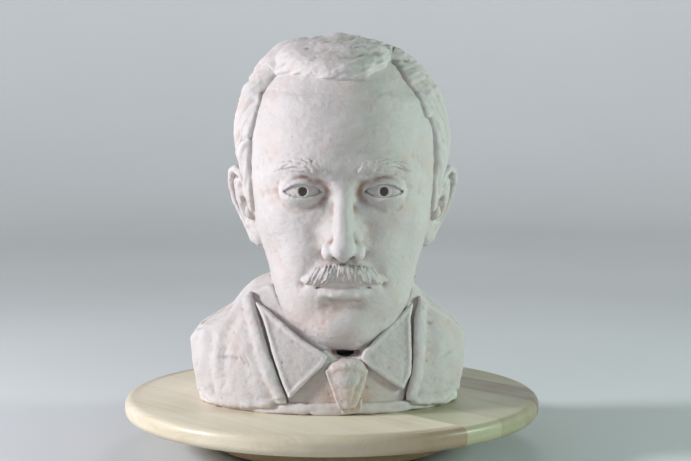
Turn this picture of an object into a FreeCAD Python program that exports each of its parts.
"""A clay portrait bust standing on a wooden modelling turntable. Millimetres, +Z up.

The origin is on the ground under the middle of the turntable, and the bust faces -Y, so its
own left side is +X. The turntable is an edge-glued board on a square ball bearing and a round
base. The bust is hollow: a torso and a head shell, with clothes, hair and features applied as
separate pieces of clay.
"""

import FreeCAD
import Part
import os
from math import cos, pi, radians, sin

V = FreeCAD.Vector

# ---------------------------------------------------------------- driving dimensions
BOARD_R = 195.0  # turning board, 390 mm across
BOARD_T = 18.0
BOARD_ROUND = 7.0  # radius on both edges of the board
GRAIN_ANGLE = -48.0  # direction of the staves, from +X
STAVE_JOINTS = (-150.0, -108.0, -64.0, -20.0, 24.0, 67.0, 106.0, 150.0)  # across the grain

BASE_R = 115.0
BASE_T = 18.0
FOOT_R = 9.0
FOOT_H = 4.0
FOOT_CIRCLE_R = 96.0
FOOT_COUNT = 4

PLATE_SIDE = 152.0  # square steel bearing plates
PLATE_T = 1.5
PLATE_CORNER_R = 8.0
BEARING_H = 9.5  # both plates and the gap between them
RACE_R = 52.0  # circle of the ball centres
BALL_R = 3.0
BALL_CLEARANCE = 0.12
BALL_COUNT = 52
RACE_WALL = 1.5
RACE_GAP = 1.0  # between the two races, at the balls' middle
BORE_R = 36.0  # hole in the middle of the lower plate, tight on the eyelet
LIP_BORE_R = 38.0  # hole in the dished lip of the upper plate
LIP_OUTER_R = 45.5
LIP_DROP = 2.6  # from the board down to the lip
FLANGE_R = 41.0  # rolled top of the eyelet, which hooks over the lip
FLANGE_CLEARANCE = 0.4
COLLAR_R = 39.0
SCREW_OFFSET = 65.0  # plate holes, from the middle along each side
SCREW_CIRCLE_R = SCREW_OFFSET * 2**0.5
SCREW_R = 2.0
SCREW_LENGTH = 12.0
SCREW_HEAD_R = 3.6
SCREW_HEAD_H = 2.0
ACCESS_HOLE_R = 9.0  # lets a screwdriver reach the upper plate's screws

FOOT_TOP = FOOT_H
BASE_TOP = FOOT_TOP + BASE_T
BOARD_BOTTOM = BASE_TOP + BEARING_H
BOARD_TOP = BOARD_BOTTOM + BOARD_T

# The bust's own heights are measured from the top of the board.
FAR = 200.0  # further than the bust reaches from its middle, front to back and side to side
PAST = 10.0  # how far a cutting solid reaches past what it cuts
WALL = 13.0  # thickness of the hollow clay
HOLLOW_X = (-116.5, 103.5)  # sides of the hollow inside the chest
HOLLOW_TOP = 52.0
COAT = 8.0  # thickness of the jacket over the torso
SHIRT = 3.0
JACKET_TOP = 110.0  # over the shoulders, where the neck's cut takes over
HEM_Z = 10.0  # lower edge of the jacket, above a plain rim
TORSO_X = -3.5
TORSO_Y = 5.0
FRONT_X = 10.0  # middle line of the face, the tie and the shirt
RIM_INSET = 1.0  # the plain rim at the foot stands this far inside the jacket
TIE_RELIEF = 2.0  # the knot stands this far proud of the jacket
NECK_GAP = 0.5
# height, half width, depth in front of TORSO_Y, depth behind it
TORSO = ((0, 132, 117, 92), (30, 133, 110, 94), (60, 132, 97, 95), (85, 118, 80, 93), (108, 94, 64, 88))

HEAD_Y = 6.0
CHIN_Z = 60.0
HEAD_H = 272.0  # chin to crown, without the hair
BROW_Z = CHIN_Z + HEAD_H * 2 / 3.5
NOSE_Z = CHIN_Z + HEAD_H / 3.5
EYE_Z = CHIN_Z + HEAD_H / 2
MOUTH_Z = NOSE_Z - HEAD_H / 3.5 / 3
# share of the head's height, half width, depth in front of HEAD_Y, depth behind it
HEAD = (
    (0.00, 30, 96, -40), (0.05, 44, 102, -14), (0.13, 60, 105, 20), (0.24, 70, 106, 52),
    (0.36, 78, 108, 84), (0.50, 85, 109, 106), (0.62, 89, 111, 114), (0.74, 88, 107, 115),
    (0.85, 77, 92, 100), (0.94, 52, 62, 68), (0.985, 26, 30, 34),
)
HEAD_WALL = 16.0
HAIR = 11.0
COLLAR_FOOT = 80.0
COLLAR_TOP = 122.0
NECK_A = 64.0  # half width of the neck
NECK_FRONT = 60.0
NECK_BACK = 62.0
NECK_Y = 16.0
NECK_BOTTOM = 34.0
NECK_TOP = 150.0
BORE_RISE = 4.0  # the neck's bore opens the head this far above the top of the neck

EYE_R = 14.0
EYE_X = 36.0  # each side of FRONT_X
EYE_Y = -83.0
LID = 2.6
LID_FRONT_Y = -84.0
SOCKET_GAP = 0.2
PUPIL_R = 4.4
PUPIL_DEPTH = 9.0
NOSE_ROOT_Y = -87.0  # the back of the nose, inside the face
FACE_Y = -103.0
# height, half width, how far the ridge stands in front of FACE_Y
NOSE = (
    (BROW_Z - 12, 8, 6), (EYE_Z - 12, 10, 13), (NOSE_Z + 18, 13, 25), (NOSE_Z + 5, 18, 27), (NOSE_Z, 14, 18),
)
# One eye's opening in the front view, from its middle: towards the nose, up.
LID_OPENING = ((-16.5, 0), (-8, 5.5), (2, 7), (11, 4), (16.5, -1), (8, -5.5), (-6, -5.5))
BROW_SIZE = (24.0, 14.0, 4.5)  # half sizes of one eyebrow
BROW_Y = -93.0
BROW_DROP = 3.0  # the eyebrow's middle lies this far under the brow line
MOUSTACHE_SIZE = (36.0, 15.0, 8.5)
MOUSTACHE_Y = -98.0
MOUSTACHE_Z = (NOSE_Z + MOUTH_Z) / 2 + 1

EAR_H = BROW_Z - NOSE_Z
EAR_X = 90.0
EAR_Y = 20.0
EAR_TURN = 18.0  # the ear leans out by this angle
# share of the ear's half height, half thickness, half length
EAR = ((-1.0, 4, 6), (-0.6, 7, 13), (0.0, 9, 18), (0.6, 10, 21), (1.0, 6, 12))


# ---------------------------------------------------------------- helpers
def cylinder(r, h, x=0.0, y=0.0, z=0.0):
    return Part.makeCylinder(r, h, V(x, y, z))


def box(x0, x1, y0, y1, z0, z1):
    return Part.makeBox(x1 - x0, y1 - y0, z1 - z0, V(x0, y0, z0))


def revolve(points):
    """Turns an outline of (radius, height) points once around Z."""
    wire = Part.makePolygon([V(r, 0, z) for r, z in points + points[:1]])
    return Part.Face(wire).revolve(V(0, 0, 0), V(0, 0, 1), 360)


def union(solids):
    return solids[0].fuse(solids[1:]).removeSplitter()


def biggest(shape):
    return max(shape.Solids, key=lambda solid: solid.Volume)


def on_board(points):
    """Front-view points, with heights from the board, as one closed wire on the plane y = 0."""
    corners = [V(x, 0, z + BOARD_TOP) for x, z in points]
    return Part.makePolygon(corners + corners[:1])


def front_prism(points, y0=-FAR, y1=FAR):
    """A solid with this outline in the front view, from y0 to y1."""
    face = Part.Face(on_board(points))
    face.translate(V(0, y0, 0))
    return face.extrude(V(0, y1 - y0, 0))


def side_prism(points, x0=-FAR, x1=FAR):
    """A solid with this outline of (y, height) points in the side view."""
    corners = [V(x0, y, z + BOARD_TOP) for y, z in points]
    face = Part.Face(Part.makePolygon(corners + corners[:1]))
    return face.extrude(V(x1 - x0, 0, 0))


def oval(x, y, z, half_width, front, back, count=20):
    """A closed smooth curve at height z, deeper in front of y than behind it."""
    points = []
    for i in range(count):
        t = 2 * pi * i / count
        depth = back if sin(t) > 0 else front
        points.append(V(x + half_width * cos(t), y + depth * sin(t), z))
    curve = Part.BSplineCurve()
    curve.interpolate(Points=points, PeriodicFlag=True)
    return Part.Wire(curve.toShape())


def torso(grow=0.0):
    """The smooth form of the chest and shoulders, grown or shrunk all round."""
    rings = [
        oval(TORSO_X, TORSO_Y, BOARD_TOP + z, a + grow, front + grow, back + grow)
        for z, a, front, back in TORSO
    ]
    return Part.makeLoft(rings, True, False)


def skull(grow=0.0):
    """The smooth form of the head without hair, grown or shrunk all round."""
    rings = []
    for share, a, front, back in HEAD:
        z = BOARD_TOP + CHIN_Z + share * HEAD_H + grow * (2 * share - 1)
        y_front = HEAD_Y - front - grow
        y_back = HEAD_Y + back + grow
        middle = (y_front + y_back) / 2
        depth = (y_back - y_front) / 2
        rings.append(oval(FRONT_X, middle, z, a + grow, depth, depth))
    return Part.makeLoft(rings, True, False)


def neck(grow=0.0, bottom=NECK_BOTTOM, top=NECK_TOP):
    rings = [
        oval(FRONT_X, NECK_Y, BOARD_TOP + z, NECK_A + grow, NECK_FRONT + grow, NECK_BACK + grow)
        for z in (bottom, top)
    ]
    return Part.makeLoft(rings, True, True)


def clear_of_head(piece, gap=0.0):
    """The piece without what would lie inside the neck or the jaw."""
    return piece.cut(neck(gap)).cut(skull(gap))


def layer(outline, inner, outer, y0=-FAR, y1=TORSO_Y):
    """A sheet of clay on the torso, between two offsets, cut to a front-view outline."""
    return torso(outer).common(front_prism(outline, y0, y1)).cut(torso(inner))


# ---------------------------------------------------------------- outlines of the clothes
# Front view of the whole torso: the arms are cut off at the sides.
SHOULDERS = (
    (-122, 0), (-128, 30), (-132, 56), (-126, 63), (-111, 70), (-97, 78), (-86, 92), (-76, 101),
    (-60, 106), (70, 106), (80, 98), (91, 86), (105, 77), (118, 66), (125, 58), (121, 30), (115, 0),
)
LAPEL_RIGHT = ((-76, JACKET_TOP), (-73, 94), (-65, 72), (-56, 48), (-48, 28), (-40, HEM_Z))
LAPEL_LEFT = ((84, JACKET_TOP), (79, 90), (75, 78), (74, 48), (71, 28), (66, HEM_Z))
WING_RIGHT = ((-38, 15), (-46, 34), (-54, 56), (-62, 80), (-68, 92), (-52, 70), (-30, 54), (-7, 47), (-9, 42))
WING_LEFT = ((63, 20), (70, 34), (71, 56), (71, 80), (74, 90), (62, 66), (46, 54), (29, 48), (33, 41))
KNOT = ((-6, 38), (3, 46), (23, 46), (32, 38), (25, 18), (22, 9), (6, 5), (1, 20))
BLADE = ((8, 13), (26, 13), (25, 2), (9, 2))
# Side view of the turned-down collar: front edge, sloping top, back.
COLLAR_SIDE = ((-14, 60), (-14, 100), (40, 112), (120, COLLAR_TOP), (120, 60))
SHIRT_OPENING = ((-38, HEM_Z), (-45, 27), (-53, 48), (-30, 54), (46, 54), (71, 48), (68, 28), (63, HEM_Z))


# ---------------------------------------------------------------- turntable
def board():
    """The whole round board, with both edges rounded and pilot holes for the screws."""
    disc = cylinder(BOARD_R, BOARD_T, z=BOARD_BOTTOM)
    rims = [e for e in disc.Edges if e.Curve.TypeId == "Part::GeomCircle"]
    disc = disc.makeFillet(BOARD_ROUND, rims)
    for hole in screw_shanks(upper_screw_places(), BOARD_BOTTOM, SCREW_LENGTH - PLATE_T):
        disc = disc.cut(hole)
    return disc


def staves():
    """The board, sawn into its edge-glued strips."""
    whole = board()
    edges = (-BOARD_R - 1,) + STAVE_JOINTS + (BOARD_R + 1,)
    strips = []
    for near, far in zip(edges, edges[1:]):
        strip = box(-BOARD_R - 1, BOARD_R + 1, near, far, BOARD_BOTTOM - 1, BOARD_TOP + 1)
        strip.rotate(V(0, 0, 0), V(0, 0, 1), GRAIN_ANGLE)
        strips.append(whole.common(strip))
    return strips


def lower_screw_places():
    return [(sx * SCREW_OFFSET, sy * SCREW_OFFSET) for sx in (-1, 1) for sy in (-1, 1)]


def upper_screw_places():
    """The upper plate is turned 45 degrees from the lower one."""
    return [(SCREW_CIRCLE_R * cos(k * pi / 2), SCREW_CIRCLE_R * sin(k * pi / 2)) for k in range(4)]


def screw_shanks(places, z, length):
    return [cylinder(SCREW_R, length, x, y, z) for x, y in places]


def upper_screws():
    """Pan-head screws, driven up through the upper plate into the board."""
    head_z = BOARD_BOTTOM - PLATE_T - SCREW_HEAD_H
    solids = []
    for x, y in upper_screw_places():
        head = cylinder(SCREW_HEAD_R, SCREW_HEAD_H, x, y, head_z)
        solids.append(head.fuse(cylinder(SCREW_R, SCREW_LENGTH, x, y, BOARD_BOTTOM - PLATE_T)))
    return Part.makeCompound(solids)


def lower_screws():
    """Pan-head screws, driven down through the lower plate into the base."""
    solids = []
    for x, y in lower_screw_places():
        head = cylinder(SCREW_HEAD_R, SCREW_HEAD_H, x, y, BASE_TOP + PLATE_T)
        solids.append(head.fuse(cylinder(SCREW_R, SCREW_LENGTH, x, y, BASE_TOP + PLATE_T - SCREW_LENGTH)))
    return Part.makeCompound(solids)


def square_plate(z, turn, bore_r):
    half = PLATE_SIDE / 2
    plate = box(-half, half, -half, half, z, z + PLATE_T)
    corners = [e for e in plate.Edges if abs(e.Vertexes[0].Z - e.Vertexes[1].Z) > PLATE_T / 2]
    plate = plate.makeFillet(PLATE_CORNER_R, corners)
    for x, y in lower_screw_places():
        plate = plate.cut(cylinder(SCREW_R, PLATE_T, x, y, z))
    plate = plate.cut(cylinder(bore_r, PLATE_T, z=z))
    plate.rotate(V(0, 0, 0), V(0, 0, 1), turn)
    return plate


def ball_groove():
    return Part.makeTorus(RACE_R, BALL_R + BALL_CLEARANCE, V(0, 0, BASE_TOP + BEARING_H / 2))


def race(z0, z1):
    """A ring pressed up from a plate, with its half of the ball groove."""
    width = BALL_R + RACE_WALL
    ring = cylinder(RACE_R + width, z1 - z0, z=z0).cut(cylinder(RACE_R - width, z1 - z0, z=z0))
    return ring.cut(ball_groove())


def lower_plate():
    top = BASE_TOP + BEARING_H / 2 - RACE_GAP / 2
    return union([square_plate(BASE_TOP, 0, BORE_R), race(BASE_TOP, top)])


def upper_plate():
    """The plate under the board, dished round its hole to clear the eyelet's flange."""
    bottom = BASE_TOP + BEARING_H / 2 + RACE_GAP / 2
    lip_top = BOARD_BOTTOM - LIP_DROP
    step_r = LIP_OUTER_R - PLATE_T
    lip = revolve([
        (LIP_BORE_R, lip_top - PLATE_T), (LIP_OUTER_R, lip_top - PLATE_T), (LIP_OUTER_R, BOARD_BOTTOM),
        (step_r, BOARD_BOTTOM), (step_r, lip_top), (LIP_BORE_R, lip_top),
    ])
    plate = square_plate(BOARD_BOTTOM - PLATE_T, 45, LIP_OUTER_R - PLATE_T / 2)
    return union([plate, race(bottom, BOARD_BOTTOM), lip])


def balls():
    middle = BASE_TOP + BEARING_H / 2
    places = [2 * pi * i / BALL_COUNT for i in range(BALL_COUNT)]
    return Part.makeCompound(
        [Part.makeSphere(BALL_R, V(RACE_R * cos(t), RACE_R * sin(t), middle)) for t in places]
    )


def eyelet():
    """The rolled ring that joins the plates: its collar sits tight in the lower plate, and its
    flange hooks loosely over the upper plate's lip."""
    inner = BORE_R - PLATE_T
    collar_top = BASE_TOP + 2 * PLATE_T
    under_flange = BOARD_BOTTOM - LIP_DROP + FLANGE_CLEARANCE
    top = under_flange + PLATE_T
    return revolve([
        (inner, BASE_TOP), (BORE_R, BASE_TOP), (BORE_R, BASE_TOP + PLATE_T), (COLLAR_R, BASE_TOP + PLATE_T),
        (COLLAR_R, collar_top), (BORE_R, collar_top), (BORE_R, under_flange), (FLANGE_R, under_flange),
        (FLANGE_R, top), (inner, top),
    ])


def base_disc():
    disc = cylinder(BASE_R, BASE_T, z=FOOT_TOP)
    rims = [e for e in disc.Edges if e.Curve.TypeId == "Part::GeomCircle"]
    disc = disc.makeFillet(BASE_T / 6, rims)
    for hole in screw_shanks(lower_screw_places(), BASE_TOP + PLATE_T - SCREW_LENGTH, SCREW_LENGTH):
        disc = disc.cut(hole)
    return disc.cut(cylinder(ACCESS_HOLE_R, BASE_T, 0, SCREW_CIRCLE_R, FOOT_TOP))


def foot(index):
    t = radians(45 + 360 / FOOT_COUNT * index)
    pad = Part.makeCone(FOOT_R - 1, FOOT_R, FOOT_H)
    pad.translate(V(FOOT_CIRCLE_R * cos(t), FOOT_CIRCLE_R * sin(t), 0))
    return pad


# ---------------------------------------------------------------- torso and clothes
def torso_shell():
    """The hollow chest, with a plain rim at its foot below the jacket."""
    body = torso(-COAT).fuse(torso_rim()).common(front_prism(SHOULDERS))
    space = box(*HOLLOW_X, -FAR, FAR, BOARD_TOP - 1, BOARD_TOP + HOLLOW_TOP)
    return clear_of_head(body.cut(torso(-COAT - WALL).common(space)))


def jacket_front(outline):
    sheet = layer(outline, -COAT, 0.0)
    return sheet.common(front_prism(SHOULDERS))


def jacket_right():
    """Front of the jacket on the bust's right, which is -X."""
    return clear_of_head(jacket_front(((-FAR, HEM_Z), (-FAR, JACKET_TOP)) + LAPEL_RIGHT), COAT)


def jacket_left():
    return clear_of_head(jacket_front(((FAR, HEM_Z), (FAR, JACKET_TOP)) + LAPEL_LEFT), COAT)


def jacket_back():
    outline = ((-FAR, HEM_Z), (-FAR, JACKET_TOP), (FAR, JACKET_TOP), (FAR, HEM_Z))
    sheet = layer(outline, -COAT, 0.0, y0=TORSO_Y, y1=FAR)
    return sheet.common(front_prism(SHOULDERS)).cut(neck(COAT))


def jacket_collar():
    """The turned-down collar, standing round the sides and back of the neck."""
    ring = neck(COAT, COLLAR_FOOT, COLLAR_TOP).cut(neck(NECK_GAP, COLLAR_FOOT - PAST, COLLAR_TOP + PAST))
    return biggest(ring.common(side_prism(COLLAR_SIDE)).cut(torso(-COAT)))


def shirt_front():
    """The shirt between the lapels, under the tie."""
    sheet = layer(SHIRT_OPENING, -COAT, -COAT + SHIRT)
    return clear_of_head(sheet.cut(tie_knot()).cut(tie_blade()), NECK_GAP)


def wing(outline):
    """One side of the shirt collar."""
    return clear_of_head(layer(outline, -COAT + SHIRT, 0.0), NECK_GAP)


def tie_knot():
    return layer(KNOT, -COAT + NECK_GAP, TIE_RELIEF).cut(torso_rim())


def tie_blade():
    return layer(BLADE, -COAT + NECK_GAP, NECK_GAP).cut(tie_knot()).cut(torso_rim())


def torso_rim():
    """The plain band of clay that the bust stands on, below the hem."""
    return torso(-RIM_INSET).common(box(-FAR, FAR, -FAR, FAR, BOARD_TOP, BOARD_TOP + HEM_Z))


# ---------------------------------------------------------------- head
def eye_centre(side):
    return V(FRONT_X + side * EYE_X, EYE_Y, BOARD_TOP + EYE_Z)


def eye_socket(side, grow=0.0):
    return Part.makeSphere(EYE_R + LID + grow, eye_centre(side), V(0, 1, 0))


def nose():
    """A wedge from between the brows to the nostrils."""
    sections = []
    for height, half_width, out in NOSE:
        z = BOARD_TOP + height
        corners = [
            V(FRONT_X - half_width, NOSE_ROOT_Y, z), V(FRONT_X - half_width / 2, FACE_Y - out, z),
            V(FRONT_X + half_width / 2, FACE_Y - out, z), V(FRONT_X + half_width, NOSE_ROOT_Y, z),
        ]
        sections.append(Part.makePolygon(corners + corners[:1]))
    return Part.makeLoft(sections, True, True)


def head_shell():
    """The hollow head, open at the neck, with sockets for the eyes."""
    solid = skull().fuse(nose())
    shell = solid.cut(skull(-HEAD_WALL)).cut(neck(-WALL, NECK_BOTTOM - PAST, NECK_TOP + BORE_RISE))
    for side in (-1, 1):
        shell = shell.cut(eye_socket(side))
    return shell


def neck_column():
    column = neck().cut(neck(-WALL, NECK_BOTTOM - PAST, NECK_TOP + PAST))
    return column.cut(skull())


def eyeball(side):
    """A ball with a deep round pupil."""
    ball = Part.makeSphere(EYE_R, eye_centre(side), V(0, 1, 0))
    mouth = eye_centre(side) + V(0, -EYE_R - PAST, 0)
    return ball.cut(Part.makeCylinder(PUPIL_R, PUPIL_DEPTH + PAST, mouth, V(0, 1, 0)))


def eyelids():
    """Upper and lower lids: strips of a thin shell round each eyeball."""
    solids = []
    for side in (-1, 1):
        centre = eye_centre(side)
        shell = eye_socket(side).cut(Part.makeSphere(EYE_R, centre, V(0, 1, 0)))
        gap = front_prism([(centre.x - side * x, z + EYE_Z) for x, z in LID_OPENING])
        shell = shell.cut(gap)
        middle = BOARD_TOP + EYE_Z
        for z0, z1 in ((middle, middle + EYE_X), (middle - EYE_X, middle)):
            lid = shell.common(box(centre.x - EYE_X, centre.x + EYE_X, -FAR, LID_FRONT_Y, z0, z1))
            solids.append(biggest(lid))
    return Part.makeCompound(solids)


def lump(x, y, z, half_sizes):
    """An ellipsoid, as a solid."""
    matrix = FreeCAD.Matrix()
    matrix.scale(V(*half_sizes))
    ball = Part.makeSphere(1.0).transformGeometry(matrix)
    ball.translate(V(x, y, z + BOARD_TOP))
    return ball


def eyebrow(side):
    brow = lump(FRONT_X + side * EYE_X, BROW_Y, BROW_Z - BROW_DROP, BROW_SIZE)
    return biggest(brow.cut(skull()).cut(eye_socket(side, SOCKET_GAP)))


def moustache():
    body = lump(FRONT_X, MOUSTACHE_Y, MOUSTACHE_Z, MOUSTACHE_SIZE)
    return biggest(body.cut(skull()).cut(nose()))


def ear(side):
    """A slab leaning back and out, set into the side of the head."""
    x = FRONT_X + side * EAR_X
    middle = BOARD_TOP + (BROW_Z + NOSE_Z) / 2
    rings = [oval(x, EAR_Y, middle + share * EAR_H / 2, a, b, b) for share, a, b in EAR]
    flap = Part.makeLoft(rings, True, False)
    flap.rotate(V(x, EAR_Y, 0), V(0, 0, 1), -side * EAR_TURN)
    return biggest(flap.cut(skull()))


# Side view of the hair: forehead, temple, sideburn, behind the ear, and the nape.
HAIRLINE = (
    (-130, 291), (-96, 289), (-66, 284), (-47, 262), (-42, 235), (-30, 215), (-20, 172), (-4, 172),
    (-2, 214), (20, 224), (42, 210), (46, 160), (58, 118), (140, 112), (140, 345), (-130, 345),
)
PARTING_X = 52.0
SWEEP_Z = 272.0  # the lock's lower edge
SWEEP_BACK = 30.0


def hair_layer():
    return skull(HAIR).common(side_prism(HAIRLINE)).cut(skull()).cut(ear(-1)).cut(ear(1))


def sweep_region():
    """The front lock, from the parting across the top of the forehead."""
    return box(-FAR, PARTING_X, -FAR, SWEEP_BACK, BOARD_TOP + SWEEP_Z, BOARD_TOP + 2 * FAR)


def hair_sweep():
    return biggest(hair_layer().common(sweep_region()))


def hair_cap():
    return biggest(hair_layer().cut(sweep_region()).cut(neck()))


# ---------------------------------------------------------------- export
def parts():
    named = {f"board_stave_{i + 1}": strip for i, strip in enumerate(staves())}
    named.update({f"rubber_foot_{i + 1}": foot(i) for i in range(FOOT_COUNT)})
    named.update({
        "base_disc": base_disc(),
        "bearing_lower_plate": lower_plate(),
        "bearing_upper_plate": upper_plate(),
        "bearing_balls": balls(),
        "bearing_eyelet": eyelet(),
        "base_screws": lower_screws(),
        "board_screws": upper_screws(),
        "torso_shell": torso_shell(),
        "jacket_right": jacket_right(),
        "jacket_left": jacket_left(),
        "jacket_back": jacket_back(),
        "jacket_collar": jacket_collar(),
        "shirt_front": shirt_front(),
        "collar_wing_right": wing(WING_RIGHT),
        "collar_wing_left": wing(WING_LEFT),
        "tie_knot": tie_knot(),
        "tie_blade": tie_blade(),
        "neck_column": neck_column(),
        "head_shell": head_shell(),
        "eyeball_right": eyeball(-1),
        "eyeball_left": eyeball(1),
        "eyelids": eyelids(),
        "eyebrow_right": eyebrow(-1),
        "eyebrow_left": eyebrow(1),
        "moustache": moustache(),
        "ear_right": ear(-1),
        "ear_left": ear(1),
        "hair_cap": hair_cap(),
        "hair_sweep": hair_sweep(),
    })
    return named


os.makedirs("parts", exist_ok=True)
for name, shape in parts().items():
    shape.exportStep(f"parts/{name}.step")
    print(f"{name:22s} {len(shape.Solids):3d} solids {shape.Volume / 1000:9.2f} cm3 valid {shape.isValid()}")
